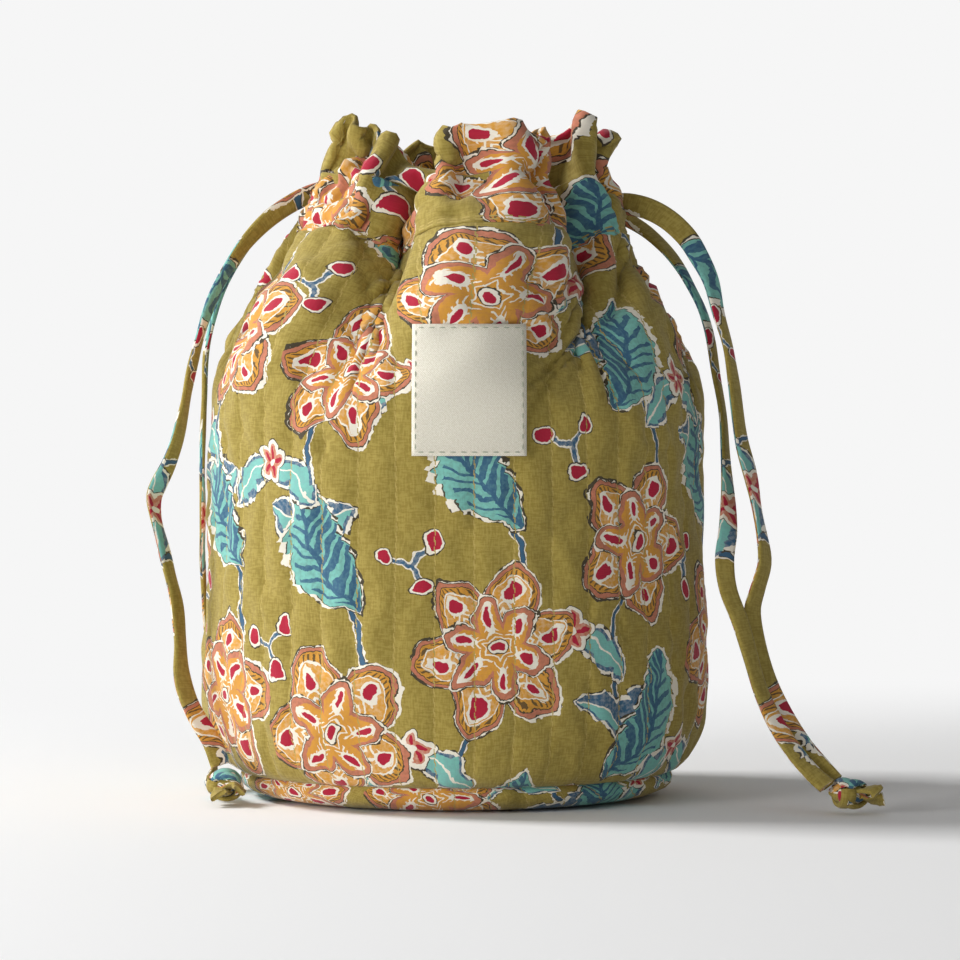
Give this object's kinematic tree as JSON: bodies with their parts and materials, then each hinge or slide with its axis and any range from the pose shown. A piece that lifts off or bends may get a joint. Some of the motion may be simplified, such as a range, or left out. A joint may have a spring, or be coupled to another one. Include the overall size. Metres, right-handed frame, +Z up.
{
  "type": "drawstring pouch",
  "caption": "Round-based quilted cotton drawstring pouch with a gathered neck, a folded header, knotted cloth strings and a sewn label.",
  "frame": {"origin": "on the floor under the middle of the round base", "axes": "+Z up, the label and the front towards -Y, +X to the right seen from the front"},
  "size_m": [0.2575, 0.1799, 0.241],
  "materials": {
    "quilted_cotton": "matte block-printed quilted cotton",
    "plain_cotton": "matte block-printed plain-weave cotton",
    "strip_cotton": "matte folded cotton strip",
    "label_canvas": "matte cream canvas"
  },
  "bodies": {
    "root": {"quilted_wall": "quilted_cotton", "base_panel": "quilted_cotton", "header_front": "plain_cotton", "header_back": "plain_cotton", "drawstring_left_loop": "strip_cotton", "drawstring_right_loop": "strip_cotton", "drawstring_right_outer": "strip_cotton", "drawstring_right_inner": "strip_cotton", "drawstring_left_outer": "strip_cotton", "drawstring_left_inner": "strip_cotton", "knot_right": "strip_cotton", "knot_left": "strip_cotton", "label": "label_canvas"}
  },
  "joints": []
}
